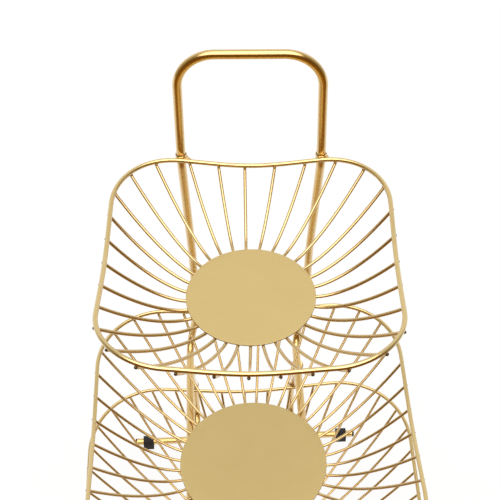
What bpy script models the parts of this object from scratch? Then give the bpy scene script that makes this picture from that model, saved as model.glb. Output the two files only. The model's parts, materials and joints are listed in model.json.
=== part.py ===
"""Three-tier wire fruit basket stand: bowls of bent wire on a frame of bent tube.

Units are metres, +Z is up and +Y is the back, where the posts stand.
The origin is on the floor, under the middle of the stand's width and depth. The functions
measure from the bowls' middle, and one empty carries the whole stand to its place.
"""

import bpy
import bmesh
from math import atan2, cos, floor, pi, radians, sin, tan
from mathutils import Matrix, Vector

# Wire, tube and sheet, the same all over the stand
TUBE_DIAMETER = 0.0080
RIM_WIRE = 0.0040
SPOKE_WIRE = 0.0026
PLATE_THICKNESS = 0.0012
SEAT_GAP = 0.0003

# Top bowl: widths over the rim wire's centre line, and heights above the plate's top
TOP_WIDTH = 0.2340
TOP_DEPTH = 0.2310
TOP_CORNER_RADIUS = 0.0544
TOP_PLATE = 0.1100
TOP_MIDDLE_RISE = 0.0403
TOP_CORNER_RISE = 0.0495

# Middle bowl
MIDDLE_WIDTH = 0.3009
MIDDLE_DEPTH = 0.2970
MIDDLE_CORNER_RADIUS = 0.0700
MIDDLE_PLATE = 0.1415
MIDDLE_MIDDLE_RISE = 0.0518
MIDDLE_CORNER_RISE = 0.0637

# Bottom bowl
BOTTOM_WIDTH = 0.3556
BOTTOM_DEPTH = 0.3510
BOTTOM_CORNER_RADIUS = 0.0827
BOTTOM_PLATE = 0.1672
BOTTOM_MIDDLE_RISE = 0.0612
BOTTOM_CORNER_RISE = 0.0752

# Height from one plate to the next
LOWER_SPACING = 0.1784
UPPER_SPACING = 0.2408

# How the tiers sit on each other: the top one is turned, and the posts stand beside the bowls' middle
TOP_TURN = radians(-2.6)
UPPER_POSTS_RIGHT = 0.0048
STAND_LEFT = 0.0050

# Spokes of every bowl
SPOKES = 32
SPOKE_UNDER_PLATE = 0.0080
SPOKE_TAIL = 0.0035
SPOKE_WELD = 0.0004
SPOKE_CURVE = 1.7
SPOKE_STATION_SHARES = (0.40, 0.72)

# Handle
HANDLE_WIDTH = 0.1218
HANDLE_TOP_WIDTH = 0.1196
HANDLE_RISE = 0.1515
HANDLE_BEND = 0.0320

# Posts, arms and rails
POST_WIDTH = 0.1138
POST_BEND = 0.0300
POST_NARROW_BELOW_PLATE = 0.0930
ELBOW_BEND = 0.0180
ARM_FRONT = 0.0500
LOWER_POST_AHEAD = 0.0190
HEEL_BACK = 0.2000
RAIL_FRONT = 0.1500

# Collars on the rims: each joins the tube above it to the tube below
COLLAR_WALL = 0.0009
COLLAR_HEIGHT = 0.0150
COLLAR_WEB = 0.0015
STRAIGHT_PAST_COLLAR = 0.0040

# Sockets under the arms
SOCKET_WALL = 0.0012
SOCKET_LENGTH = 0.0260

# Bars under the bowls
CROSSBAR_PLACE = 0.0300
BASE_BAR_LENGTH = 0.2600
BASE_BAR_FRONT = 0.1350
BASE_BAR_BACK = 0.1650

# Caps and feet
CAP_LENGTH = 0.0022
FOOT_DROP = 0.0035
FOOT_WALL = 0.0026
FOOT_LENGTH = 0.0120
FOOT_FROM_END = 0.0140
FOOT_ROUNDING = 0.0010

# How finely round shapes are drawn
RIM_STEPS_PER_SPOKE = 2
PLATE_SIDES = 64
COLLAR_SIDES = 20
CAP_SIDES = 12
ARC_STEP = radians(15)
CUTTER_OVERRUN = 0.0020
WELD_DISTANCE = 0.00001

# Sizes that follow from those above
TUBE_R = TUBE_DIAMETER / 2
RIM_R = RIM_WIRE / 2
SPOKE_R = SPOKE_WIRE / 2
BORE_R = TUBE_R + SEAT_GAP
COLLAR_R = BORE_R + COLLAR_WALL
SOCKET_R = BORE_R + SOCKET_WALL
PLATE_OVER_TUBE = TUBE_R + SEAT_GAP + SPOKE_WIRE - SPOKE_WELD + PLATE_THICKNESS
BASE_BAR_Z = FOOT_DROP + TUBE_R
RAIL_Z = BASE_BAR_Z + TUBE_DIAMETER + SEAT_GAP
BOTTOM_Z = RAIL_Z + PLATE_OVER_TUBE
MIDDLE_Z = BOTTOM_Z + LOWER_SPACING
TOP_Z = MIDDLE_Z + UPPER_SPACING
ARM_Z = MIDDLE_Z - PLATE_OVER_TUBE
HANDLE_Z = TOP_Z + HANDLE_RISE
TUBE_STOP = COLLAR_WEB / 2 + SEAT_GAP
TUBE_STRAIGHT = COLLAR_HEIGHT / 2 + STRAIGHT_PAST_COLLAR
BOWLS_FORWARD = (HEEL_BACK - BOTTOM_DEPTH / 2 - SPOKE_TAIL) / 2


SIDES = ((-1, "left"), (1, "right"))


class Bowl:
    """Sizes of one bowl, and the curve of its rim."""

    def __init__(self, name, z, width, depth, corner, plate, middle_rise, corner_rise):
        self.name = name
        self.z = z
        self.half_width = width / 2
        self.half_depth = depth / 2
        self.corner = corner
        self.plate_r = plate / 2
        self.middle_rise = middle_rise
        self.corner_rise = corner_rise

    def rim_at(self, place):
        """Rim point by place: 0 is the middle of the back, and each spoke is one further clockwise."""
        per_side = SPOKES / 4
        side = floor(place / per_side + 0.5)
        share = (place / per_side - side) * 2
        along_x = side % 2 == 0
        length, reach = (self.half_width, self.half_depth) if along_x else (self.half_depth, self.half_width)
        straight = length - self.corner
        travel = abs(share) * (straight + self.corner * pi / 4)
        bend = max(travel - straight, 0) / self.corner
        along = min(travel, straight) + self.corner * sin(bend)
        out = reach - self.corner * (1 - cos(bend))
        if share < 0:
            along = -along
        x, y = ((along, out), (out, -along), (-along, -out), (-out, along))[side % 4]
        turn = atan2(y / self.half_depth, x / self.half_width)
        rise = self.middle_rise + (self.corner_rise - self.middle_rise) * sin(2 * turn) ** 2
        return Vector((x, y, self.z + rise))

    def back_rise_at(self, x):
        """Height of the back of the rim over the floor, this far to the side."""
        turn = atan2(1, x / self.half_width)
        return self.z + self.middle_rise + (self.corner_rise - self.middle_rise) * sin(2 * turn) ** 2


TOP = Bowl("top", TOP_Z, TOP_WIDTH, TOP_DEPTH, TOP_CORNER_RADIUS, TOP_PLATE, TOP_MIDDLE_RISE, TOP_CORNER_RISE)
MIDDLE = Bowl("middle", MIDDLE_Z, MIDDLE_WIDTH, MIDDLE_DEPTH, MIDDLE_CORNER_RADIUS, MIDDLE_PLATE,
              MIDDLE_MIDDLE_RISE, MIDDLE_CORNER_RISE)
BOTTOM = Bowl("bottom", BOTTOM_Z, BOTTOM_WIDTH, BOTTOM_DEPTH, BOTTOM_CORNER_RADIUS, BOTTOM_PLATE,
              BOTTOM_MIDDLE_RISE, BOTTOM_CORNER_RISE)


def clear_scene():
    for thing in list(bpy.data.objects):
        bpy.data.objects.remove(thing, do_unlink=True)


def collection_named(name):
    made = bpy.data.collections.new(name)
    bpy.context.scene.collection.children.link(made)
    return made


def finish_named(name, colour, metallic, roughness):
    made = bpy.data.materials.new(name)
    made.use_nodes = True
    shader = made.node_tree.nodes["Principled BSDF"]
    shader.inputs["Base Color"].default_value = (*colour, 1)
    shader.inputs["Metallic"].default_value = metallic
    shader.inputs["Roughness"].default_value = roughness
    return made


def place(name, data, finish, parent=None):
    made = bpy.data.objects.new(name, data)
    PARTS.objects.link(made)
    data.materials.append(finish)
    made.parent = parent or STAND
    return made


def empty_at(name, parent=None):
    made = bpy.data.objects.new(name, None)
    PARTS.objects.link(made)
    made.parent = parent
    return made


def curve_through(name, runs, wire, fineness, closed=False):
    """A round wire or tube along each run of points."""
    curve = bpy.data.curves.new(name, "CURVE")
    curve.dimensions = "3D"
    curve.bevel_depth = wire / 2
    curve.bevel_resolution = fineness
    curve.use_fill_caps = not closed
    for points in runs:
        spline = curve.splines.new("POLY")
        spline.points.add(len(points) - 1)
        for knot, point in zip(spline.points, points):
            knot.co = (*point, 1)
        spline.use_cyclic_u = closed
    return curve


def mesh_of(name, curve):
    """The curve's solid as a mesh, with its end caps welded on."""
    holder = bpy.data.objects.new(name, curve)
    GUIDES.objects.link(holder)
    graph = bpy.context.evaluated_depsgraph_get()
    mesh = bpy.data.meshes.new_from_object(holder.evaluated_get(graph))
    bpy.data.objects.remove(holder, do_unlink=True)
    cage = bmesh.new()
    cage.from_mesh(mesh)
    bmesh.ops.remove_doubles(cage, verts=cage.verts, dist=WELD_DISTANCE)
    cage.to_mesh(mesh)
    cage.free()
    return mesh


def bent(corners, radii):
    """Points along straight runs with a round bend at each inner corner."""
    points = [corners[0]]
    for before, corner, after, radius in zip(corners, corners[1:], corners[2:], radii):
        come = (before - corner).normalized()
        leave = (after - corner).normalized()
        turn = pi - come.angle(leave)
        centre = corner + (come + leave).normalized() * (radius / cos(turn / 2))
        start = corner + come * (radius * tan(turn / 2)) - centre
        axis = (-come).cross(leave).normalized()
        steps = max(2, round(turn / ARC_STEP))
        for step in range(steps + 1):
            points.append(centre + Matrix.Rotation(turn * step / steps, 3, axis) @ start)
    points.append(corners[-1])
    return points


def turned_mesh(name, profile, sides):
    """A closed body turned about Z from a profile of (radius, height) points."""
    mesh = bpy.data.meshes.new(name)
    edges = [(i, i + 1) for i in range(len(profile) - 1)]
    if profile[0][0] > 0:
        edges.append((len(profile) - 1, 0))
    mesh.from_pydata([(r, 0, z) for r, z in profile], edges, [])
    holder = bpy.data.objects.new(name, mesh)
    GUIDES.objects.link(holder)
    screw = holder.modifiers.new("turn", "SCREW")
    screw.steps = screw.render_steps = sides
    screw.use_merge_vertices = True
    screw.merge_threshold = WELD_DISTANCE
    graph = bpy.context.evaluated_depsgraph_get()
    turned = bpy.data.meshes.new_from_object(holder.evaluated_get(graph))
    bpy.data.objects.remove(holder, do_unlink=True)
    turned.shade_smooth()
    turned.set_sharp_from_angle(angle=radians(40))
    return turned


def cut(target, cutter, name):
    cutter.hide_render = True
    cutter.display_type = "WIRE"
    knife = target.modifiers.new(name, "BOOLEAN")
    knife.operation = "DIFFERENCE"
    knife.solver = "EXACT"
    knife.object = cutter


def tube(name, corners, radii, parent=None):
    return place(name, curve_through(name, [bent(corners, radii)], TUBE_DIAMETER, 2), GOLD_TUBE, parent)


def spoke_points(bowl, index):
    """One spoke: flat under the plate, then curving up to pass under the rim and end in a short tail."""
    turn = pi / 2 - 2 * pi * index / SPOKES
    outward = Vector((cos(turn), sin(turn), 0))
    level = bowl.z - PLATE_THICKNESS - SPOKE_R + SPOKE_WELD
    root = outward * bowl.plate_r
    rim = bowl.rim_at(index)
    rim_way = (bowl.rim_at(index + 1 / SPOKES) - bowl.rim_at(index - 1 / SPOKES)).normalized()
    clear = RIM_R + SPOKE_R + SEAT_GAP
    drop = clear
    for _ in range(6):
        rise = rim.z - drop - level
        stations = [
            root.lerp(rim, share).to_2d().to_3d() + Vector((0, 0, level + rise * share ** SPOKE_CURVE))
            for share in SPOKE_STATION_SHARES
        ]
        crossing = Vector((rim.x, rim.y, rim.z - drop))
        way = (crossing - stations[-1]).normalized()
        across = rim_way.cross(way)
        drop = clear * across.length / abs(across.z)
    inner = outward * (bowl.plate_r - SPOKE_UNDER_PLATE) + Vector((0, 0, level))
    edge = root + Vector((0, 0, level))
    return [inner, edge, *stations, crossing + way * SPOKE_TAIL]


def make_rim(bowl, parent):
    count = SPOKES * RIM_STEPS_PER_SPOKE
    points = [bowl.rim_at(step / RIM_STEPS_PER_SPOKE) for step in range(count)]
    name = bowl.name + "_rim"
    place(name, curve_through(name, [points], RIM_WIRE, 2, closed=True), GOLD_WIRE, parent)


def make_plate_with_spokes(bowl, parent):
    """The round plate and the spokes welded to its underside, one welded piece."""
    name = bowl.name + "_plate_and_spokes"
    disc = bmesh.new()
    bmesh.ops.create_cone(disc, cap_ends=True, segments=PLATE_SIDES, radius1=bowl.plate_r,
                          radius2=bowl.plate_r, depth=PLATE_THICKNESS)
    bmesh.ops.translate(disc, verts=disc.verts, vec=(0, 0, bowl.z - PLATE_THICKNESS / 2))
    mesh = bpy.data.meshes.new(name)
    disc.to_mesh(mesh)
    disc.free()
    plate = place(name, mesh, GOLD_PLATE, parent)
    runs = [spoke_points(bowl, index) for index in range(SPOKES)]
    spokes = bpy.data.objects.new(bowl.name + "_spokes", mesh_of(name, curve_through(name, runs, SPOKE_WIRE, 1)))
    GUIDES.objects.link(spokes)
    spokes.parent = plate.parent
    spokes.hide_render = True
    spokes.display_type = "WIRE"
    weld = plate.modifiers.new("weld_spokes", "BOOLEAN")
    weld.operation = "UNION"
    weld.solver = "EXACT"
    weld.object = spokes


class Joint:
    """Where a collar holds two tubes end to end: its middle, and the direction down its axis."""

    def __init__(self, place, down):
        self.place = place
        self.down = down

    def below(self, distance):
        return self.place + self.down * distance


def collar_joint(bowl, side, width, shift, lean):
    """The collar behind a bowl's rim, left (-1) or right (1), leaning this far from the vertical."""
    x = side * width / 2
    y = bowl.half_depth + (RIM_R + SEAT_GAP + COLLAR_R) / cos(lean)
    return Joint(Vector((x + shift, y, bowl.back_rise_at(x + shift))), Vector((0, sin(lean), -cos(lean))))


def top_joint(side):
    """A top collar where it stands in the world, turned with its tier."""
    joint = collar_joint(TOP, side, HANDLE_WIDTH, 0, 0)
    return Joint(Matrix.Rotation(TOP_TURN, 3, "Z") @ joint.place, joint.down)


def upper_lean():
    """Angle of the upper posts from the vertical, from the top collars to the middle ones."""
    drop = TOP.back_rise_at(HANDLE_WIDTH / 2) - TUBE_STRAIGHT - MIDDLE.back_rise_at(POST_WIDTH / 2)
    back = MIDDLE.half_depth - TOP.half_depth
    return atan2(back, drop)


def middle_joint(side):
    return collar_joint(MIDDLE, side, POST_WIDTH, UPPER_POSTS_RIGHT, upper_lean())


def elbow(side):
    """Where the arm's centre line meets the line down from the middle collar."""
    joint = middle_joint(side)
    y = joint.place.y + (joint.place.z - ARM_Z) * tan(upper_lean()) / 2
    return Vector((side * POST_WIDTH / 2 - STAND_LEFT, y, ARM_Z))


def lower_top(side):
    """Where a lower post's centre line meets the arm's."""
    return elbow(side) - Vector((0, ELBOW_BEND + LOWER_POST_AHEAD, 0))


def lower_lean():
    """Angle of the lower posts from the vertical, from the arms to the bottom collars."""
    top = lower_top(1)
    drop = top.z - BOTTOM.back_rise_at(POST_WIDTH / 2)
    angle = 0
    for _ in range(8):
        reach = BOTTOM.half_depth + (RIM_R + SEAT_GAP + COLLAR_R) / cos(angle)
        angle = atan2(reach - top.y, drop)
    return angle


def bottom_joint(side):
    return collar_joint(BOTTOM, side, POST_WIDTH, -STAND_LEFT, lower_lean())


def make_handle(parent):
    """The carrying handle: an upturned U whose legs plug into the top collars."""
    half, top_half = HANDLE_WIDTH / 2, HANDLE_TOP_WIDTH / 2
    corners = []
    for side in (-1, 1):
        joint = collar_joint(TOP, side, HANDLE_WIDTH, 0, 0)
        leg = [joint.below(-TUBE_STOP), joint.below(-TUBE_STRAIGHT),
               Vector((side * top_half, joint.place.y, HANDLE_Z))]
        corners += leg if side < 0 else reversed(leg)
    path = bent(corners, (POST_BEND, HANDLE_BEND, HANDLE_BEND, POST_BEND))
    place("handle", curve_through("handle", [path], TUBE_DIAMETER, 3), GOLD_TUBE, parent)


def make_collars(bowl, joint_at, lean, parent=None):
    """Short sleeves welded behind a rim, each with a web inside that parts its two tubes."""
    web, end = COLLAR_WEB / 2, COLLAR_HEIGHT / 2
    profile = [(0, web), (BORE_R, web), (BORE_R, end), (COLLAR_R, end),
               (COLLAR_R, -end), (BORE_R, -end), (BORE_R, -web), (0, -web)]
    mesh = turned_mesh(bowl.name + "_collar", profile, COLLAR_SIDES)
    for side, word in SIDES:
        collar = place(f"{bowl.name}_{word}_collar", mesh.copy(), GOLD_TUBE, parent)
        collar.location = joint_at(side).place
        collar.rotation_euler.x = lean


def make_upper_posts():
    """Each upper post runs from a top collar down to a middle one, closing in a little on the way."""
    lean = upper_lean()
    for side, word in SIDES:
        head, foot = top_joint(side), middle_joint(side)
        narrow = (foot.place.z - TOP_Z + POST_NARROW_BELOW_PLATE) / cos(lean)
        corners = [head.below(TUBE_STOP), head.below(TUBE_STRAIGHT), foot.below(narrow), foot.below(-TUBE_STOP)]
        tube(f"upper_{word}_post", corners, (POST_BEND, POST_BEND))


def make_arms():
    """Each arm drops from a middle collar and turns forward under the middle plate."""
    for side, word in SIDES:
        joint, corner = middle_joint(side), elbow(side)
        corners = [joint.below(TUBE_STOP), joint.below(TUBE_STRAIGHT), corner,
                   Vector((corner.x, -ARM_FRONT, ARM_Z))]
        tube(f"{word}_arm", corners, (ELBOW_BEND, ELBOW_BEND))


def make_lower_posts():
    """Each lower post runs straight from the socket under an arm to a bottom collar."""
    lean = lower_lean()
    clear = (TUBE_R + SEAT_GAP) / cos(lean) + TUBE_R * tan(lean) + SEAT_GAP
    for side, word in SIDES:
        joint = bottom_joint(side)
        top = lower_top(side) + joint.down * clear
        tube(f"lower_{word}_post", [top, joint.below(-TUBE_STOP)], ())


def make_base_rails():
    """Each base rail rises at its heel to a bottom collar and runs forward under the bottom plate."""
    for side, word in SIDES:
        joint = bottom_joint(side)
        x = joint.place.x
        corners = [joint.below(TUBE_STOP), joint.below(TUBE_STRAIGHT), Vector((x, HEEL_BACK, RAIL_Z)),
                   Vector((x, -RAIL_FRONT, RAIL_Z))]
        tube(f"base_{word}_rail", corners, (ELBOW_BEND, ELBOW_BEND))


def make_sockets():
    """Sleeves under the arms, coped to them, that the lower posts push into."""
    for side, word in SIDES:
        top, down = lower_top(side), bottom_joint(side).down
        along = Vector((0, SOCKET_LENGTH, 0))
        runs = {"saddle": [top + along, top - along], "bore": [top, top + down * (SOCKET_LENGTH + CUTTER_OVERRUN)]}
        body = [top + down * (TUBE_R / 2), top + down * SOCKET_LENGTH]
        solid = mesh_of("socket", curve_through("socket", [body], 2 * SOCKET_R, 3))
        socket = place(f"{word}_socket", solid, GOLD_TUBE)
        for name, run in runs.items():
            mesh = mesh_of(name, curve_through(name, [run], 2 * BORE_R, 3))
            cutter = bpy.data.objects.new(f"{word}_{name}", mesh)
            GUIDES.objects.link(cutter)
            cutter.parent = socket.parent
            cut(socket, cutter, name)


def make_bar(name, y, z, length):
    ends = [Vector((side * length / 2 - STAND_LEFT, y, z)) for side in (-1, 1)]
    place(name, curve_through(name, [ends], TUBE_DIAMETER, 2), GOLD_TUBE)


def cap_mesh():
    """A domed plug head that closes a tube's end, facing +Z."""
    rim = CAP_LENGTH / 3
    profile = [(0, CAP_LENGTH), (TUBE_R * 2 / 3, CAP_LENGTH * 3 / 4), (TUBE_R, rim), (TUBE_R, 0), (0, 0)]
    return turned_mesh("cap", profile, CAP_SIDES)


def make_caps():
    mesh = cap_mesh()
    forward = radians(90)
    seats = [
        ("arm", Vector((POST_WIDTH / 2, -ARM_FRONT - SEAT_GAP, ARM_Z)), (forward, 0, 0)),
        ("rail", Vector((POST_WIDTH / 2, -RAIL_FRONT - SEAT_GAP, RAIL_Z)), (forward, 0, 0)),
        ("front_bar", Vector((BASE_BAR_LENGTH / 2 + SEAT_GAP, -BASE_BAR_FRONT, BASE_BAR_Z)), (0, forward, 0)),
        ("back_bar", Vector((BASE_BAR_LENGTH / 2 + SEAT_GAP, BASE_BAR_BACK, BASE_BAR_Z)), (0, forward, 0)),
    ]
    for name, seat, turn in seats:
        for side, word in SIDES:
            cap = place(f"{name}_{word}_cap", mesh.copy(), RUBBER)
            cap.location = (seat.x * side - STAND_LEFT, seat.y, seat.z)
            cap.rotation_euler = (turn[0], turn[1] * side, turn[2])


def make_feet():
    """Saddle feet round the ends of the base bars: an arch over the tube and a flat sole."""
    outer = BORE_R + FOOT_WALL
    sole = -BASE_BAR_Z
    steps = 8
    arch = [(outer * cos(pi * step / steps), outer * sin(pi * step / steps)) for step in range(steps + 1)]
    outline = [*arch, (-outer, sole + FOOT_ROUNDING), (-outer + FOOT_ROUNDING, sole),
               (outer - FOOT_ROUNDING, sole), (outer, sole + FOOT_ROUNDING)]
    sides = 2 * steps
    bore = [(BORE_R * cos(2 * pi * step / sides), BORE_R * sin(2 * pi * step / sides)) for step in range(sides)]
    for y, row in ((-BASE_BAR_FRONT, "front"), (BASE_BAR_BACK, "back")):
        for side, word in SIDES:
            curve = bpy.data.curves.new("foot", "CURVE")
            curve.dimensions = "2D"
            curve.fill_mode = "BOTH"
            curve.extrude = FOOT_LENGTH / 2
            for ring in (outline, bore):
                spline = curve.splines.new("POLY")
                spline.points.add(len(ring) - 1)
                for knot, (x, z) in zip(spline.points, ring):
                    knot.co = (x, z, 0, 1)
                spline.use_cyclic_u = True
            foot = place(f"{row}_{word}_foot", curve, RUBBER)
            foot.rotation_euler = (radians(90), 0, radians(90))
            foot.location = (side * (BASE_BAR_LENGTH / 2 - FOOT_FROM_END) - STAND_LEFT, y, BASE_BAR_Z)


def build():
    tier = empty_at("top_tier", STAND)
    tier.rotation_euler.z = TOP_TURN
    make_handle(tier)
    for bowl, parent in ((TOP, tier), (MIDDLE, None), (BOTTOM, None)):
        make_rim(bowl, parent)
        make_plate_with_spokes(bowl, parent)
    make_collars(TOP, lambda side: collar_joint(TOP, side, HANDLE_WIDTH, 0, 0), 0, tier)
    make_collars(MIDDLE, middle_joint, upper_lean())
    make_collars(BOTTOM, bottom_joint, lower_lean())
    make_upper_posts()
    make_arms()
    make_sockets()
    make_lower_posts()
    make_base_rails()
    between = POST_WIDTH - TUBE_DIAMETER - 2 * SEAT_GAP
    for y, row in ((-CROSSBAR_PLACE, "front"), (CROSSBAR_PLACE, "back")):
        make_bar(f"middle_{row}_crossbar", y, ARM_Z, between)
    make_bar("base_front_bar", -BASE_BAR_FRONT, BASE_BAR_Z, BASE_BAR_LENGTH)
    make_bar("base_back_bar", BASE_BAR_BACK, BASE_BAR_Z, BASE_BAR_LENGTH)
    make_caps()
    make_feet()


clear_scene()
PARTS = collection_named("tiered_fruit_basket")
GUIDES = collection_named("guides")
GOLD_TUBE = finish_named("satin_gold_tube", (0.62, 0.42, 0.17), 1.0, 0.30)
GOLD_WIRE = finish_named("satin_gold_wire", (0.66, 0.46, 0.20), 1.0, 0.28)
GOLD_PLATE = finish_named("matt_gold_plate", (0.69, 0.52, 0.24), 0.8, 0.50)
RUBBER = finish_named("black_rubber", (0.03, 0.03, 0.03), 0.0, 0.70)
STAND = empty_at("stand")
STAND.location.y = -BOWLS_FORWARD
build()
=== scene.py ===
import json
from math import atan2, cos, floor, pi, radians, sin, tan

import bmesh
import bpy
from mathutils import Matrix, Vector


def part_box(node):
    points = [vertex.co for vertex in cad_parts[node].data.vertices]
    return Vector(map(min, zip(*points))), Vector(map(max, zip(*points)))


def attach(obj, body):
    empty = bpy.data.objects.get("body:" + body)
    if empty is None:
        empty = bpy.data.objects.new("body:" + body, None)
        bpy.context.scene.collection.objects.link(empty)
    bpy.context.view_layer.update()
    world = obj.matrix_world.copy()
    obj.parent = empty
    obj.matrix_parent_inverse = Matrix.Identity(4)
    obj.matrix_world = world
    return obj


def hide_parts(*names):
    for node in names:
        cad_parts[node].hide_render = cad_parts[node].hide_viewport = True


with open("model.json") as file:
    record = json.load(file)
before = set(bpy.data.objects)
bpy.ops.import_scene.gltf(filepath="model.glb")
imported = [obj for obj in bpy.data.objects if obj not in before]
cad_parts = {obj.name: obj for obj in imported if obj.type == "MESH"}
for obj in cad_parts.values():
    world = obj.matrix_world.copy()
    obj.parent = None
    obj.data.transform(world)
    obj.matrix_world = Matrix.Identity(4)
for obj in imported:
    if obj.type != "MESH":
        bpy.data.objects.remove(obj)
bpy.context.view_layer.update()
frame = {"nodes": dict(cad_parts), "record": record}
record = frame["record"]
mm = 0.001
sides = ("left", "right")
upward = Vector((0, 0, 1))


def middleOf(node):
    low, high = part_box(node)
    return (Vector(low) + Vector(high)) / 2


def jointAxis(name):
    for joint in record["behaviour"]["joints"]:
        if joint["name"] == name:
            return Vector(joint["axis"]).normalized()


def mountPlace(name):
    for mount in record["mounts"]:
        if mount["name"] == name:
            return Vector(mount["pos_m"])


def toLinear(hexColour):
    channels = [int(hexColour[i:i + 2], 16) / 255 for i in (1, 3, 5)]
    return tuple(c / 12.92 if c <= 0.04045 else ((c + 0.055) / 1.055) ** 2.4 for c in channels) + (1,)


def addNode(tree, kind, inputs=None, **settings):
    node = tree.nodes.new(kind)
    for name, value in settings.items():
        setattr(node, name, value)
    for socket, value in (inputs or {}).items():
        if isinstance(value, bpy.types.NodeSocket):
            tree.links.new(value, node.inputs[socket])
        else:
            node.inputs[socket].default_value = value
    return node


def newMaterial(name):
    material = bpy.data.materials.new(name)
    material.use_nodes = True
    material.node_tree.nodes.clear()
    return material, material.node_tree


# Champagne-gold lacquer sprayed on steel: a soft warm mirror of a barely uneven colour.
lacquer = {
    "patch": 25 * mm,  # where it ran together, a shade deeper
    "peel": 1.5 * mm,  # orange peel, seen where a highlight breaks up
    "peelDepth": 0.05 * mm,
    "flake": 0.4 * mm,  # pigment, drawn some ten times too coarse so that it shows
    "flakeNoise": (0.3, 0.7),
    "coatRoughness": 0.15,
    "coatIor": 1.8,
}


def satinGold(name, colour, deep, roughness, peel, grain, coat=1.0, metallic=1.0):
    material, tree = newMaterial(name)
    place = addNode(tree, "ShaderNodeTexCoord").outputs["Object"]
    patches = addNode(tree, "ShaderNodeTexNoise", {"Vector": place, "Scale": 1 / lacquer["patch"], "Detail": 2.0})
    shade = addNode(tree, "ShaderNodeMix", {
        "Factor": patches.outputs["Fac"], "A": toLinear(colour), "B": toLinear(deep)}, data_type="RGBA")
    peelNoise = addNode(tree, "ShaderNodeTexNoise", {"Vector": place, "Scale": 1 / lacquer["peel"], "Detail": 1.0})
    bump = addNode(tree, "ShaderNodeBump", {
        "Height": peelNoise.outputs["Fac"], "Strength": peel, "Distance": lacquer["peelDepth"]})
    flake = addNode(tree, "ShaderNodeTexNoise", {"Vector": place, "Scale": 1 / lacquer["flake"], "Detail": 2.0})
    low, high = lacquer["flakeNoise"]
    rough = addNode(tree, "ShaderNodeMapRange", {
        "Value": flake.outputs["Fac"], "From Min": low, "From Max": high,
        "To Min": roughness - grain, "To Max": roughness + grain})
    shader = addNode(tree, "ShaderNodeBsdfPrincipled", {
        "Base Color": shade.outputs["Result"], "Metallic": metallic, "Roughness": rough.outputs["Result"],
        "Normal": bump.outputs["Normal"], "Coat Weight": coat, "Coat Roughness": lacquer["coatRoughness"],
        "Coat IOR": lacquer["coatIor"]})
    addNode(tree, "ShaderNodeOutputMaterial", {"Surface": shader.outputs["BSDF"]})
    return material


# Moulded rubber: dull and nearly black, with the fine grain of its mould.
rubberFinish = {"colour": "#1B1A19", "roughness": 0.72, "grain": 0.8 * mm, "grainDepth": 0.1 * mm, "bump": 0.3}


def mouldedRubber(name):
    material, tree = newMaterial(name)
    place = addNode(tree, "ShaderNodeTexCoord").outputs["Object"]
    noise = addNode(tree, "ShaderNodeTexNoise", {
        "Vector": place, "Scale": 1 / rubberFinish["grain"], "Detail": 3.0})
    bump = addNode(tree, "ShaderNodeBump", {
        "Height": noise.outputs["Fac"], "Strength": rubberFinish["bump"], "Distance": rubberFinish["grainDepth"]})
    shader = addNode(tree, "ShaderNodeBsdfPrincipled", {
        "Base Color": toLinear(rubberFinish["colour"]), "Roughness": rubberFinish["roughness"],
        "Normal": bump.outputs["Normal"]})
    addNode(tree, "ShaderNodeOutputMaterial", {"Surface": shader.outputs["BSDF"]})
    return material


# drawn tube is smooth and mirrors its surroundings, wire shows more of its peel and pigment
tubeGold = satinGold("satinGoldTube", "#E0BB6C", "#DCB565", roughness=0.20, peel=0.008, grain=0.004)
rimGold = satinGold("satinGoldRimWire", "#E0C47F", "#DABD77", roughness=0.20, peel=0.02, grain=0.01)
spokeGold = satinGold("satinGoldSpokeWire", "#D9BA76", "#D2B06C", roughness=0.20, peel=0.02, grain=0.01)
# weld metal under the lacquer is lumpy, and spreads its highlights
weldGold = satinGold("lacqueredWeldBead", "#DDBD7C", "#D2AE6C", roughness=0.34, peel=0.3, grain=0.03)
# painted shade: the spoke ends just under the rim are coloured a dull dark brown, with less gloss, for the shade
# they sit in
paintedShadeTip = satinGold("spokeEndPaintedShade", "#7A5C34", "#5A4228", roughness=0.45, peel=0.4, grain=0.05, coat=0.3)
# the pressed plates are sprayed matt: an even pale gold of a faint sheen; the sides and underside of the rolled
# edge get a darker gold, as painted shade
plateGold = satinGold("mattGoldPlate", "#C9B379", "#C4AD71", roughness=0.50, peel=0.10, grain=0.02,
                      coat=0.0, metallic=0.25)
paintedShadeEdgeGold = satinGold("plateEdgePaintedShade", "#93763F", "#856A38", roughness=0.45, peel=0.10, grain=0.02,
                     coat=0.0, metallic=0.25)
rubber = mouldedRubber("blackRubber")
print("materials made")


# A ring swept along each path, as wide as the path's width says.
def wireTree():
    tree = bpy.data.node_groups.new("wireAlongPaths", "GeometryNodeTree")
    for name, kind in (("Paths", "Geometry"), ("Diameter", "Float"), ("Sides", "Int"), ("Finish", "Material")):
        tree.interface.new_socket(name, in_out="INPUT", socket_type=f"NodeSocket{kind}")
    tree.interface.new_socket("Wire", in_out="OUTPUT", socket_type="NodeSocketGeometry")
    given = addNode(tree, "NodeGroupInput").outputs
    radius = addNode(tree, "ShaderNodeMath", {0: given["Diameter"], 1: 0.5}, operation="MULTIPLY")
    line = addNode(tree, "GeometryNodeMeshToCurve", {"Mesh": given["Paths"]})
    width = addNode(tree, "GeometryNodeInputNamedAttribute", {"Name": "width"}, data_type="FLOAT")
    ring = addNode(tree, "GeometryNodeCurvePrimitiveCircle", {"Resolution": given["Sides"],
                                                              "Radius": radius.outputs[0]})
    swept = addNode(tree, "GeometryNodeCurveToMesh", {
        "Curve": line.outputs["Curve"], "Profile Curve": ring.outputs["Curve"],
        "Scale": width.outputs["Attribute"], "Fill Caps": True})
    whole = addNode(tree, "GeometryNodeRealizeInstances", {"Geometry": swept.outputs["Mesh"]})
    painted = addNode(tree, "GeometryNodeSetMaterial", {"Geometry": whole.outputs["Geometry"],
                                                        "Material": given["Finish"]})
    addNode(tree, "NodeGroupOutput", {"Wire": painted.outputs["Geometry"]})
    return tree


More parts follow.
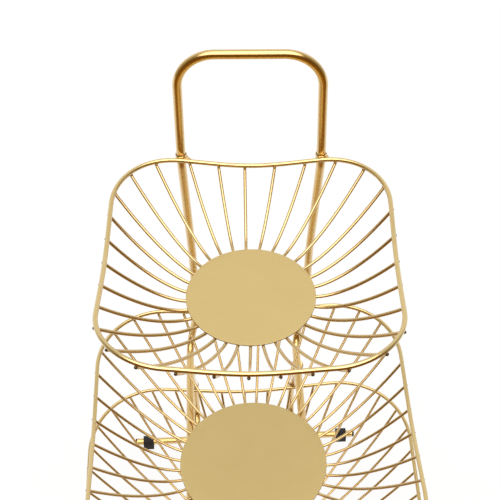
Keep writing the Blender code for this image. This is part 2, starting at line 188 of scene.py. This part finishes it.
# Drops of weld metal, each turned along its wire, no two of quite the same size.
weldDrops = {"least": (0.9, 0.9, 0.85), "most": (1.12, 1.12, 1.1), "seed": 7, "subdivisions": 3}


def beadTree():
    tree = bpy.data.node_groups.new("weldBeads", "GeometryNodeTree")
    for name, kind in (("Places", "Geometry"), ("Size", "Vector"), ("Finish", "Material")):
        tree.interface.new_socket(name, in_out="INPUT", socket_type=f"NodeSocket{kind}")
    tree.interface.new_socket("Beads", in_out="OUTPUT", socket_type="NodeSocketGeometry")
    given = addNode(tree, "NodeGroupInput").outputs
    drop = addNode(tree, "GeometryNodeMeshIcoSphere", {"Radius": 1.0, "Subdivisions": weldDrops["subdivisions"]})
    wobble = addNode(tree, "FunctionNodeRandomValue", {
        "Min": weldDrops["least"], "Max": weldDrops["most"], "Seed": weldDrops["seed"]}, data_type="FLOAT_VECTOR")
    size = addNode(tree, "ShaderNodeVectorMath", {0: given["Size"], 1: wobble.outputs["Value"]},
                   operation="MULTIPLY")
    way = addNode(tree, "GeometryNodeInputNamedAttribute", {"Name": "turn"}, data_type="FLOAT_VECTOR")
    placed = addNode(tree, "GeometryNodeInstanceOnPoints", {
        "Points": given["Places"], "Instance": drop.outputs["Mesh"], "Scale": size.outputs["Vector"],
        "Rotation": way.outputs["Attribute"]})
    whole = addNode(tree, "GeometryNodeRealizeInstances", {"Geometry": placed.outputs["Instances"]})
    smooth = addNode(tree, "GeometryNodeSetShadeSmooth", {"Geometry": whole.outputs["Geometry"]})
    painted = addNode(tree, "GeometryNodeSetMaterial", {"Geometry": smooth.outputs["Geometry"],
                                                        "Material": given["Finish"]})
    addNode(tree, "NodeGroupOutput", {"Beads": painted.outputs["Geometry"]})
    return tree


wireGroup = wireTree()
beadGroup = beadTree()
meshing = {"merge": 0.002 * mm, "turnMerge": 0.001 * mm, "sharp": radians(38), "cutEndWidth": 0.72}


# The tree's result on the carrier mesh, as a plain piece without a modifier.
def grown(name, carrier, tree, inputs):
    holder = bpy.data.objects.new(name + "Carrier", carrier)
    bpy.context.scene.collection.objects.link(holder)
    modifier = holder.modifiers.new(tree.name, "NODES")
    modifier.node_group = tree
    for item in tree.interface.items_tree:
        if item.item_type == "SOCKET" and item.in_out == "INPUT" and item.name in inputs:
            modifier[item.identifier] = inputs[item.name]
    graph = bpy.context.evaluated_depsgraph_get()
    mesh = bpy.data.meshes.new_from_object(holder.evaluated_get(graph))
    bpy.data.objects.remove(holder, do_unlink=True)
    return plainPiece(name, mesh)


# An object at the origin, with its faces outwards and smooth up to its sharp edges.
def plainPiece(name, mesh, material=None):
    mesh.name = name
    work = bmesh.new()
    work.from_mesh(mesh)
    bmesh.ops.remove_doubles(work, verts=work.verts, dist=meshing["merge"])
    bmesh.ops.recalc_face_normals(work, faces=work.faces)
    work.to_mesh(mesh)
    work.free()
    for attribute in ("width", "turn"):
        if attribute in mesh.attributes:
            mesh.attributes.remove(mesh.attributes[attribute])
    mesh.shade_smooth()
    mesh.set_sharp_from_angle(angle=meshing["sharp"])
    if material:
        mesh.materials.clear()
        mesh.materials.append(material)
    piece = bpy.data.objects.new(name, mesh)
    bpy.context.scene.collection.objects.link(piece)
    return piece


# Edges along each path. A cut end has a chamfer: its last ring is narrower.
def pathMesh(name, paths, closed, chamfer):
    points, edges, widths = [], [], []
    cutEnd = [meshing["cutEndWidth"]]
    for path in paths:
        path = list(path)
        first = len(points)
        if chamfer and not closed:
            start, end = (path[1] - path[0]).normalized(), (path[-2] - path[-1]).normalized()
            path = [path[0], path[0] + start * chamfer, *path[1:-1], path[-1] + end * chamfer, path[-1]]
            widths += cutEnd + [1.0] * (len(path) - 2) + cutEnd
        else:
            widths += [1.0] * len(path)
        points += path
        edges += [(first + i, first + i + 1) for i in range(len(path) - 1)]
        if closed:
            edges.append((len(points) - 1, first))
    mesh = bpy.data.meshes.new(name)
    mesh.from_pydata(points, edges, [])
    mesh.attributes.new("width", "FLOAT", "POINT").data.foreach_set("value", widths)
    return mesh


def wire(name, paths, diameter, ringSides, finish, closed=False, chamfer=0.0):
    carrier = pathMesh(name, paths, closed, chamfer)
    return grown(name, carrier, wireGroup, {"Diameter": diameter, "Sides": ringSides, "Finish": finish})


# A closed body turned about Z. Its profile of (radius, height) runs from the top down the outside.
def turned(name, profile, steps):
    mesh = bpy.data.meshes.new(name)
    edges = [(i, i + 1) for i in range(len(profile) - 1)]
    if profile[0][0] > 0:  # a sleeve's profile closes along its bore
        edges.append((len(profile) - 1, 0))
    mesh.from_pydata([(r, 0, z) for r, z in profile], edges, [])
    holder = bpy.data.objects.new(name, mesh)
    bpy.context.scene.collection.objects.link(holder)
    screw = holder.modifiers.new("turn", "SCREW")
    screw.steps = screw.render_steps = steps
    screw.use_merge_vertices = True
    screw.merge_threshold = meshing["turnMerge"]
    graph = bpy.context.evaluated_depsgraph_get()
    result = bpy.data.meshes.new_from_object(holder.evaluated_get(graph))
    bpy.data.objects.remove(holder, do_unlink=True)
    return result


def turnedAlong(axis):
    return upward.rotation_difference(axis).to_matrix().to_4x4()


def settle(piece, body, slot, *nodes):
    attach(piece, body)
    if nodes:
        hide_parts(*nodes)


tubes = {
    "diameter": 8 * mm, "sides": 36, "chamfer": 0.3 * mm,
    "bendStep": radians(3), "leastSteps": 3, "leastBend": radians(0.2),
}
tubeRadius = tubes["diameter"] / 2


# Straight runs with a round bend at each inner corner.
def roundedPath(corners, radii):
    points = [corners[0]]
    for before, corner, after, radius in zip(corners, corners[1:], corners[2:], radii):
        come, leave = (before - corner).normalized(), (after - corner).normalized()
        turn = pi - come.angle(leave)
        if turn < tubes["leastBend"]:
            continue
        centre = corner + (come + leave).normalized() * (radius / cos(turn / 2))
        start = corner + come * (radius * tan(turn / 2)) - centre
        axis = (-come).cross(leave).normalized()
        steps = max(tubes["leastSteps"], round(turn / tubes["bendStep"]))
        points += [centre + Matrix.Rotation(turn * step / steps, 3, axis) @ start for step in range(steps + 1)]
    points.append(corners[-1])
    return points


def tube(name, corners, radii, body, node):
    piece = wire(name, [roundedPath(corners, radii)], tubes["diameter"], tubes["sides"], tubeGold,
                 chamfer=tubes["chamfer"])
    settle(piece, body, "gold_tube", node)


# Sleeves with a rolled lip at both mouths. They reach little above the rim, as in the photograph.
collars = {
    "above": 1.5 * mm,
    "below": 6.5 * mm,
    "wall": 0.65 * mm,
    "gap": 0.35 * mm,
    "lip": 0.35 * mm,
    "innerLip": 0.3,  # share of the outer one
    "steps": 56,
    "stop": 1.05 * mm,  # a tube ends this far from the collar's middle
    "straight": 11.5 * mm,  # and has its first corner this far from it
}
collarBore = tubeRadius + collars["gap"]
collarOuter = collarBore + collars["wall"]


def makeCollars(name, axis):
    above, below, lip = collars["above"], collars["below"], collars["lip"]
    mouth = collarBore + collars["innerLip"] * lip
    profile = [(collarBore, above - lip), (mouth, above), (collarOuter - lip, above), (collarOuter, above - lip),
               (collarOuter, lip - below), (collarOuter - lip, -below), (mouth, -below), (collarBore, lip - below)]
    for side in sides:
        node = f"{name}_{side}_collar"
        mesh = turned("collar", profile, collars["steps"])
        mesh.transform(Matrix.Translation(middleOf(node)) @ turnedAlong(axis))
        settle(plainPiece(f"{name}{side.title()}Collar", mesh, tubeGold), name + "_bowl", "gold_tube", node)


# Lengths of the bowls are in mm. A place on a rim is counted in spokes, clockwise from the middle of its
# back. share moves all roots or all rim ends along the ring, and shift moves them aside and ahead, because
# the star of spokes was welded on a little off the rim's middle. nudge moves single spokes at the rim.
bowls = {
    "top": {
        "width": 232, "depth": 231, "corner": 54.4, "middleRise": 40.3, "cornerRise": 49.5, "frontLift": 2.0,
        "plate": 107, "spokes": 32, "turn": radians(-2.6),
        "rootShare": -0.21, "rootShift": (-0.21, 0.2), "rimShare": -0.01, "rimShift": (-0.20, -0.05),
        "nudge": {13: 0.17, 14: 0.12, 15: -0.03, 16: -0.17, 17: -0.23, 18: -0.19, 19: -0.08, 30: 0.15, 31: 0.12},
    },
    "middle": {
        "width": 300.9, "depth": 297, "corner": 70, "middleRise": 51.8, "cornerRise": 61.0, "frontLift": 0.0,
        "plate": 143, "spokes": 40, "turn": 0.0,
        "rootShare": -0.47, "rootShift": (0.0, 0.0), "rimShare": -0.46, "rimShift": (-0.04, -0.26), "nudge": {},
    },
    "bottom": {
        "width": 355.6, "depth": 351, "corner": 82.7, "middleRise": 61.2, "cornerRise": 75.2, "frontLift": 0.0,
        "plate": 167.2, "spokes": 48, "turn": 0.0,
        "rootShare": -0.12, "rootShift": (0.0, 0.0), "rimShare": -0.14, "rimShift": (0.0, 0.0), "nudge": {},
    },
}
rims = {"wire": 4 * mm, "sides": 20, "stepsPerSpoke": 6}
plates = {
    "thickness": 1.2 * mm,
    "lip": 0.45 * mm,  # rolled edge
    "dish": 0.35 * mm,
    "rings": (0.25, 0.5, 0.75, 0.9),
    "steps": 160,
    "paintedShadeFaces": (-0.9, 0.6),  # a face whose normal's Z lies between these gets the edge's painted shade
}
spokes = {
    "wire": 2.8 * mm,
    "sides": 14,
    "chamfer": 0.45 * mm,
    "underPlate": 8 * mm,
    "flatShare": 0.6,
    "curve": 1.7,  # power of the rise from the plate's edge to the rim
    "stations": 16,
    "passes": 6,  # rounds in which the crossing settles under the rim
    "tail": 2.6 * mm,  # past the rim
    "tailAtCollar": 0.6 * mm,
    "tip": (1.35 * mm, 1.35 * mm, 1.35 * mm),
    "tipSink": 0.3 * mm,
}
weldSink = 0.25 * mm  # how far two welded wires sink into each other
spokeWelds = {"size": (1.9 * mm, 1.35 * mm, 1.1 * mm), "upToRim": 0.42}
fillets = {"size": (2.1 * mm, 1.5 * mm, 1.7 * mm), "aside": 2.4 * mm, "ahead": 0.2 * mm, "below": 0.7 * mm}
gussets = {
    "wire": 3.4 * mm,
    "sides": 14,
    "chamfer": 0.4 * mm,
    "reach": {("top", "left"): 8.6 * mm, ("top", "right"): 6.0 * mm},
    "drop": 0.05,  # for each mm along the rim
    "start": Vector((-1.6, -2.2, 0.4)) * mm,  # from the collar's side
    "bend": Vector((-0.2, -3.2, 0.2)) * mm,
    "fan": (1, 0.6, 0.2),  # three wires that end along the rim fill the corner, as its weld does
    "fanWidth": 0.8,
}


# Top of the bowl's plate, at its middle.
def bowlPlace(name):
    return mountPlace(name + "_plate_face")


# Centre of the rim wire at a place on the rim, seen from the middle of the bowl's plate.
def rimPoint(name, place):
    size = bowls[name]
    halfWidth, halfDepth, corner = size["width"] / 2, size["depth"] / 2, size["corner"]
    perSide = size["spokes"] / 4
    side = floor(place / perSide + 0.5)
    share = (place / perSide - side) * 2
    length, reach = (halfWidth, halfDepth) if side % 2 == 0 else (halfDepth, halfWidth)
    straight = length - corner
    travel = abs(share) * (straight + corner * pi / 4)
    bend = max(travel - straight, 0) / corner
    along = min(travel, straight) + corner * sin(bend)
    out = reach - corner * (1 - cos(bend))
    if share < 0:
        along = -along
    x, y = ((along, out), (out, -along), (-along, -out), (-out, along))[side % 4]
    turn = atan2(y / halfDepth, x / halfWidth)
    rise = size["middleRise"] + (size["cornerRise"] - size["middleRise"]) * sin(2 * turn) ** 2
    rise += size["frontLift"] * max(-y / halfDepth, 0) ** 2
    return Vector((x, y, rise)) * mm


# How far the bowl's two collars stand to the side, before the bowl is turned.
def collarX(name):
    back = Matrix.Rotation(bowls[name]["turn"], 3, "Z").inverted()
    return [(back @ (middleOf(f"{name}_{side}_collar") - bowlPlace(name))).x for side in sides]


# Place of a spoke's root or rim end on the ring.
def shifted(name, index, end):
    size = bowls[name]
    angle = 2 * pi * index / size["spokes"]
    aside, ahead = size[end + "Shift"]
    return index + size[end + "Share"] + aside * cos(angle) + ahead * sin(angle)


def rimPlace(name, index):
    return shifted(name, index, "rim") + bowls[name]["nudge"].get(index, 0.0)


# Flat under the plate's edge, then curving up to cross under the rim.
def spokePath(name, index):
    size = bowls[name]
    plateRadius = size["plate"] / 2 * mm
    place = rimPlace(name, index)
    angle = pi / 2 - 2 * pi * shifted(name, index, "root") / size["spokes"]
    outward = Vector((cos(angle), sin(angle), 0))
    level = -plates["thickness"] - spokes["wire"] / 2 + weldSink
    root = outward * plateRadius
    rim = rimPoint(name, place)
    nearby = 0.05
    rimWay = (rimPoint(name, place + nearby) - rimPoint(name, place - nearby)).normalized()
    clear = (rims["wire"] + spokes["wire"]) / 2 - weldSink
    drop = clear
    for _ in range(spokes["passes"]):
        rise = rim.z - drop - level
        curved = []
        for step in range(1, spokes["stations"]):
            share = step / spokes["stations"]
            flat = root.lerp(rim, share)
            curved.append(Vector((flat.x, flat.y, level + rise * share ** spokes["curve"])))
        crossing = Vector((rim.x, rim.y, rim.z - drop))
        way = (crossing - curved[-1]).normalized()
        across = rimWay.cross(way)
        drop = clear * across.length / abs(across.z)
    inner = outward * (plateRadius - spokes["underPlate"]) + Vector((0, 0, level))
    edge = root + Vector((0, 0, level))
    beside = min(abs(rim.x - x) for x in collarX(name))
    nearCollar = rim.y > 0 and beside < collarOuter + spokes["wire"]
    end = crossing + way * (spokes["tailAtCollar"] if nearCollar else spokes["tail"])
    return [inner, inner.lerp(edge, spokes["flatShare"]), edge, *curved, crossing, end], crossing, way


# A pressed disc with a rolled edge and the faintest dish.
def plateMesh(radius):
    thick, lip, dish = plates["thickness"], plates["lip"], plates["dish"]
    quarter = [radians(a) for a in range(0, 91, 18)]
    profile = [(0, -dish)]
    profile += [(radius * share, -dish * (1 - share ** 2)) for share in plates["rings"]]
    profile += [(radius - lip + lip * sin(a), -lip + lip * cos(a)) for a in quarter]
    profile += [(radius - lip + lip * cos(a), -thick + lip - lip * sin(a)) for a in quarter]
    profile += [(0, -thick)]
    return turned("plate", profile, plates["steps"])


def weldBeads(name, places, turns, size, body, finish):
    dots = bpy.data.meshes.new(name)
    dots.from_pydata(places, [], [])
    dots.attributes.new("turn", "FLOAT_VECTOR", "POINT").data.foreach_set("vector", [v for t in turns for v in t])
    settle(grown(name, dots, beadGroup, {"Size": size, "Finish": finish}), body, "gold_wire")


# Fillets where the rim touches its two collars, and beside the top collars a gusset along the rim.
def weldCollars(name, place, body):
    spots = []
    for side in sides:
        collar = place.inverted() @ middleOf(f"{name}_{side}_collar")
        touch = collar - Vector((0, collarOuter, 0))
        for way in (-1, 1):
            aside = Vector((way * fillets["aside"], -fillets["ahead"], -fillets["below"]))
            spots.append(place @ (touch + aside))
        reach = gussets["reach"].get((name, side))
        if reach:
            beside = collar + Vector((collarOuter, 0, 0))
            start, bend = beside + gussets["start"], beside + gussets["bend"]
            rimAt = touch + Vector((reach, -rims["wire"] / 2 - collars["gap"], -gussets["drop"] * reach))
            ends = [rimAt - Vector(((1 - share) * reach * gussets["fanWidth"], 0, 0)) for share in gussets["fan"]]
            fan = [[place @ point for point in (start, bend, end)] for end in ends]
            stub = wire(name + side.title() + "Gusset", fan, gussets["wire"], gussets["sides"], weldGold,
                        chamfer=gussets["chamfer"])
            settle(stub, body, "gold_wire")
    weldBeads(name + "CollarWelds", spots, [(0, 0, 0)] * len(spots), fillets["size"], body, weldGold)


def makeBowl(name):
    size = bowls[name]
    place = Matrix.Translation(bowlPlace(name)) @ Matrix.Rotation(size["turn"], 4, "Z")
    body = name + "_bowl"
    steps = rims["stepsPerSpoke"]
    rimPath = [place @ rimPoint(name, step / steps) for step in range(size["spokes"] * steps)]
    rim = wire(name + "Rim", [rimPath], rims["wire"], rims["sides"], rimGold, closed=True)
    settle(rim, body, "gold_wire", name + "_rim")
    paths, beads, turns, tips = [], [], [], []
    for index in range(size["spokes"]):
        path, crossing, way = spokePath(name, index)
        above = rimPoint(name, rimPlace(name, index))
        paths.append([place @ point for point in path])
        beads.append(place @ crossing.lerp(above, spokeWelds["upToRim"]))
        tips.append(place @ (path[-1] - way * spokes["tipSink"]))
        turns.append((0, -atan2(way.z, way.to_2d().length), atan2(way.y, way.x) + size["turn"]))
    wires = wire(name + "Spokes", paths, spokes["wire"], spokes["sides"], spokeGold, chamfer=spokes["chamfer"])
    plate = plateMesh(size["plate"] / 2 * mm)
    plate.transform(place)
    disc = plainPiece(name + "Plate", plate, plateGold)
    # painted shade: the faces round the rolled edge take the darker edge material
    disc.data.materials.append(paintedShadeEdgeGold)
    low, high = plates["paintedShadeFaces"]
    for face in disc.data.polygons:
        if low < face.normal.z < high:
            face.material_index = 1
    for piece in (wires, disc):
        settle(piece, body, "gold_plate", name + "_plate_and_spokes")
    weldBeads(name + "RimWelds", beads, turns, spokeWelds["size"], body, weldGold)
    # painted shade at the spoke ends, in the dark brown tip material
    weldBeads(name + "SpokeTips", tips, turns, spokes["tip"], body, paintedShadeTip)
    weldCollars(name, place, body)


for bowlName in bowls:
    makeBowl(bowlName)
print("bowls made")

upperUp = jointAxis("middle_bowl_lift")  # slopes of the upper and lower posts
lowerUp = jointAxis("bottom_bowl_lift")
handle = {"topHalf": 59.8 * mm, "topBend": 32 * mm, "legBend": 30 * mm}


# One tube, up from the left collar, over the top and down to the right one.
def makeHandle():
    left, right = middleOf("top_left_collar"), middleOf("top_right_collar")
    across = (right - left).normalized()
    top = Vector(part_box("handle")[1]).z - tubeRadius
    corners = []
    for foot, sign in ((left, -1), (right, 1)):
        middle = (left + right) / 2 + across * sign * handle["topHalf"]
        leg = [foot + upward * collars["stop"], foot + upward * collars["straight"],
               Vector((middle.x, middle.y, top))]
        corners += leg if sign < 0 else reversed(leg)
    radii = (handle["legBend"], handle["topBend"], handle["topBend"], handle["legBend"])
    tube("handleTube", corners, radii, "carrying_handle", "handle")


posts = {
    "bend": 30 * mm,
    "waistBelowPlate": 93 * mm,  # below the top plate an upper post takes up its slope
    "elbow": 18 * mm,
    "heelY": 189.5 * mm,  # where the base rails turn to the front
    "socketAhead": 19 * mm,
}
sockets = {
    "length": 26 * mm, "wall": 1.2 * mm, "slack": 0.1 * mm, "lip": 0.5 * mm, "steps": 48,
    "weld": 1.8 * mm, "weldSides": 12, "weldSteps": 40,
}


# Below its collar the tube turns level to the front here, halfway between its slope and straight down.
def elbowCorner(side):
    collar = middleOf(f"middle_{side}_collar")
    low = Vector(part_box(f"{side}_arm")[0])
    armZ = low.z + tubeRadius
    lean = atan2(-upperUp.y, upperUp.z)
    return Vector((low.x + tubeRadius, collar.y + (collar.z - armZ) * tan(lean) / 2, armZ))


def makePosts(side):
    top, middle = middleOf(f"top_{side}_collar"), middleOf(f"middle_{side}_collar")
    bottom = middleOf(f"bottom_{side}_collar")
    stop, straight = collars["stop"], collars["straight"]
    elbows = (posts["elbow"], posts["elbow"])
    waistZ = bowlPlace("top").z - posts["waistBelowPlate"]
    waist = middle + upperUp * ((waistZ - middle.z) / upperUp.z)
    tube(f"{side}UpperPost", [top - upward * stop, top - upward * straight, waist, middle + upperUp * stop],
         (posts["bend"], posts["bend"]), "upper_posts", f"upper_{side}_post")
    corner = elbowCorner(side)
    front = Vector((corner.x, Vector(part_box(f"{side}_arm")[0]).y, corner.z))
    tube(f"{side}Arm", [middle - upperUp * stop, middle - upperUp * straight, corner, front],
         elbows, "middle_stand", f"{side}_arm")
    high = Vector(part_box(f"lower_{side}_post")[1]).z + tubeRadius * lowerUp.y
    postTop = bottom + lowerUp * ((high - bottom.z) / lowerUp.z)
    tube(f"{side}LowerPost", [postTop, bottom + lowerUp * stop], (), "lower_posts", f"lower_{side}_post")
    railLow = Vector(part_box(f"base_{side}_rail")[0])
    railZ = railLow.z + tubeRadius
    heel, toe = Vector((bottom.x, posts["heelY"], railZ)), Vector((bottom.x, railLow.y, railZ))
    tube(f"{side}BaseRail", [bottom - lowerUp * stop, bottom - lowerUp * straight, heel, toe],
         elbows, "base_stand", f"base_{side}_rail")
    makeSocket(side, corner - Vector((0, posts["elbow"] + posts["socketAhead"], 0)))


# A sleeve under the arm, with the weld bead round it where it meets the arm.
def makeSocket(side, head):
    outer = tubeRadius + collars["gap"] + sockets["wall"]
    length, lip = sockets["length"], sockets["lip"]
    bore = tubeRadius + sockets["slack"]
    profile = [(bore, 0), (outer, 0), (outer, -length + lip), (outer - lip, -length), (bore, -length)]
    mesh = turned("socket", profile, sockets["steps"])
    mesh.transform(Matrix.Translation(head) @ turnedAlong(lowerUp))
    settle(plainPiece(f"{side}Socket", mesh, tubeGold), "middle_stand", "gold_tube", f"{side}_socket")
    ring = []
    for step in range(sockets["weldSteps"]):
        angle = 2 * pi * step / sockets["weldSteps"]
        around = Matrix.Rotation(angle, 3, lowerUp) @ Vector((1, 0, 0)) * outer
        reach = (tubeRadius ** 2 - min(around.x ** 2, tubeRadius ** 2)) ** 0.5
        ring.append(head + around - lowerUp * ((reach + around.z) / lowerUp.z))
    bead = wire(f"{side}SocketWeld", [ring], sockets["weld"], sockets["weldSides"], weldGold, closed=True)
    settle(bead, "middle_stand", "gold_tube")


# Straight lengths of the same tube. The crossbars are longer, to sink into the arms' round sides.
bars = {
    "middleFrontCrossbar": ("middle_front_crossbar", "middle_stand", 0.6 * mm),
    "middleBackCrossbar": ("middle_back_crossbar", "middle_stand", 0.6 * mm),
    "baseFrontBar": ("base_front_bar", "base_stand", 0),
    "baseBackBar": ("base_back_bar", "base_stand", 0),
}


def makeBars():
    for name, (node, body, longer) in bars.items():
        low, high = (Vector(corner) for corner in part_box(node))
        middle = (low + high) / 2
        ends = [Vector((low.x - longer, middle.y, middle.z)), Vector((high.x + longer, middle.y, middle.z))]
        tube(name, ends, (), body, node)


makeHandle()
for sideName in sides:
    makePosts(sideName)
makeCollars("top", upward)
makeCollars("middle", upperUp)
makeCollars("bottom", lowerUp)
makeBars()
print("frame made")

rubberSharp = radians(40)
for node, thing in frame["nodes"].items():
    if node.endswith(("_foot", "_cap")):
        thing.data.materials.clear()
        thing.data.materials.append(rubber)
        thing.data.shade_smooth()
        thing.data.set_sharp_from_angle(angle=rubberSharp)
print("feet and caps finished")

# The camera sees a white table. Mirrored rays see its front part, which is outside the picture, dark and
# warm, because the tubes in the photograph mirror something like that.
# painted shadow: towards the front the table turns a deep warm brown, both where mirrored rays see it and in its
# matt cloth, as the shadow cast by the camera and photographer in front
table = {
    "halfWidth": 2.2, "front": -2.0, "back": 2.6, "height": -0.2 * mm,
    "shadowBefore": -0.45, "whiteFrom": 0.15, "dark": "#8B5D00", "cloth": "#F4F3F1", "glow": 0.9,
}
white = (1, 1, 1, 1)


def makeTable():
    spots = [(way * table["halfWidth"], table[end], table["height"])
             for way, end in ((-1, "front"), (1, "front"), (1, "back"), (-1, "back"))]
    mesh = bpy.data.meshes.new("table")
    mesh.from_pydata(spots, [], [(0, 1, 2, 3)])
    top = bpy.data.objects.new("table", mesh)
    bpy.context.scene.collection.objects.link(top)
    material, tree = newMaterial("whiteTable")
    place = addNode(tree, "ShaderNodeTexCoord").outputs["Object"]
    ahead = addNode(tree, "ShaderNodeSeparateXYZ", {0: place}).outputs["Y"]
    near = addNode(tree, "ShaderNodeMapRange", {
        "Value": ahead, "From Min": table["shadowBefore"], "From Max": table["whiteFrom"]},
        interpolation_type="SMOOTHSTEP")
    # painted shadow colour of the table's front
    dark = toLinear(table["dark"])
    level = addNode(tree, "ShaderNodeMix", {"Factor": near.outputs["Result"], "A": dark, "B": white},
                    data_type="RGBA")
    ray = addNode(tree, "ShaderNodeLightPath").outputs
    seen = addNode(tree, "ShaderNodeMix", {
        "Factor": ray["Is Camera Ray"], "A": level.outputs["Result"], "B": white}, data_type="RGBA")
    pair = addNode(tree, "ShaderNodeMath", {0: ray["Is Camera Ray"], 1: ray["Is Glossy Ray"]},
                   operation="MAXIMUM")
    shown = addNode(tree, "ShaderNodeMath", {0: pair.outputs[0], 1: ray["Is Transmission Ray"]},
                    operation="MAXIMUM")
    part = addNode(tree, "ShaderNodeMath", {0: shown.outputs[0], 1: table["glow"]}, operation="MULTIPLY")
    # the matt cloth carries the same painted shadow
    cloth = addNode(tree, "ShaderNodeMix", {
        "Factor": near.outputs["Result"], "A": dark, "B": toLinear(table["cloth"])}, data_type="RGBA")
    matt = addNode(tree, "ShaderNodeBsdfDiffuse", {"Color": cloth.outputs["Result"]})
    glow = addNode(tree, "ShaderNodeEmission", {"Color": seen.outputs["Result"], "Strength": 1.0})
    mixed = addNode(tree, "ShaderNodeMixShader", {0: part.outputs[0], 1: matt.outputs[0], 2: glow.outputs[0]})
    addNode(tree, "ShaderNodeOutputMaterial", {"Surface": mixed.outputs[0]})
    mesh.materials.append(material)


# Dark behind the camera, dim at the sides, a white backdrop behind, and a soft box overhead in front.
room = {
    "levels": ((0.20, "#765521"), (0.42, "#A29989"), (0.60, "#BCB8B1"), (0.82, "#F9F9F9")),
    "boxWay": (0, -0.34, 0.94), "boxEdge": (0.77, 0.87), "boxGlow": 2.6,
}


def makeWorld():
    world = bpy.data.worlds.new("studio")
    bpy.context.scene.world = world
    world.use_nodes = True
    tree = world.node_tree
    tree.nodes.clear()
    way = addNode(tree, "ShaderNodeTexCoord").outputs["Generated"]
    ahead = addNode(tree, "ShaderNodeSeparateXYZ", {0: way}).outputs["Y"]
    share = addNode(tree, "ShaderNodeMath", {0: ahead, 1: 0.5, 2: 0.5}, operation="MULTIPLY_ADD")
    walls = addNode(tree, "ShaderNodeValToRGB", {0: share.outputs[0]})
    ramp = walls.color_ramp
    ramp.interpolation = "EASE"
    for spot, (place, colour) in enumerate(room["levels"]):
        stop = ramp.elements[0] if spot == 0 else ramp.elements.new(place)
        stop.position = place
        stop.color = toLinear(colour)
    ramp.elements.remove(ramp.elements[-1])
    facing = addNode(tree, "ShaderNodeVectorMath", {0: way, 1: room["boxWay"]}, operation="DOT_PRODUCT")
    low, high = room["boxEdge"]
    box = addNode(tree, "ShaderNodeMapRange", {
        "Value": facing.outputs["Value"], "From Min": low, "From Max": high, "To Min": 0.0,
        "To Max": room["boxGlow"]}, interpolation_type="SMOOTHSTEP")
    glow = addNode(tree, "ShaderNodeVectorMath", {0: walls.outputs["Color"], 1: box.outputs["Result"]},
                   operation="ADD")
    ray = addNode(tree, "ShaderNodeLightPath").outputs
    shown = addNode(tree, "ShaderNodeMix", {
        "Factor": ray["Is Camera Ray"], "A": glow.outputs["Vector"], "B": white}, data_type="RGBA")
    back = addNode(tree, "ShaderNodeBackground", {"Color": shown.outputs["Result"], "Strength": 1.0})
    addNode(tree, "ShaderNodeOutputWorld", {"Surface": back.outputs["Background"]})


# The photograph's own camera, fitted to its 500 x 500 pixels.
view = {
    "place": (-0.0179, -0.6150, 1.1039), "yaw": radians(1.68), "pitch": radians(45.18), "roll": radians(-0.87),
    "focalPixels": 1090.7, "photoPixels": 500, "sensor": 36,
}


def makeCamera():
    camera = bpy.data.cameras.new("camera")
    camera.sensor_width = view["sensor"]
    camera.lens = view["focalPixels"] * view["sensor"] / view["photoPixels"]
    eye = bpy.data.objects.new("camera", camera)
    yaw, pitch, roll = view["yaw"], view["pitch"], view["roll"]
    forward = Vector((sin(yaw) * cos(pitch), cos(yaw) * cos(pitch), -sin(pitch)))
    levelRight = Vector((cos(yaw), -sin(yaw), 0))
    levelUp = levelRight.cross(forward)
    right = levelRight * cos(roll) + levelUp * sin(roll)
    up = levelUp * cos(roll) - levelRight * sin(roll)
    turn = Matrix((right, up, -forward)).transposed().to_4x4()
    eye.matrix_world = Matrix.Translation(view["place"]) @ turn
    bpy.context.scene.collection.objects.link(eye)
    bpy.context.scene.camera = eye


makeTable()
makeWorld()
makeCamera()
bpy.context.scene.view_settings.view_transform = "Standard"
print("table, light and camera made")
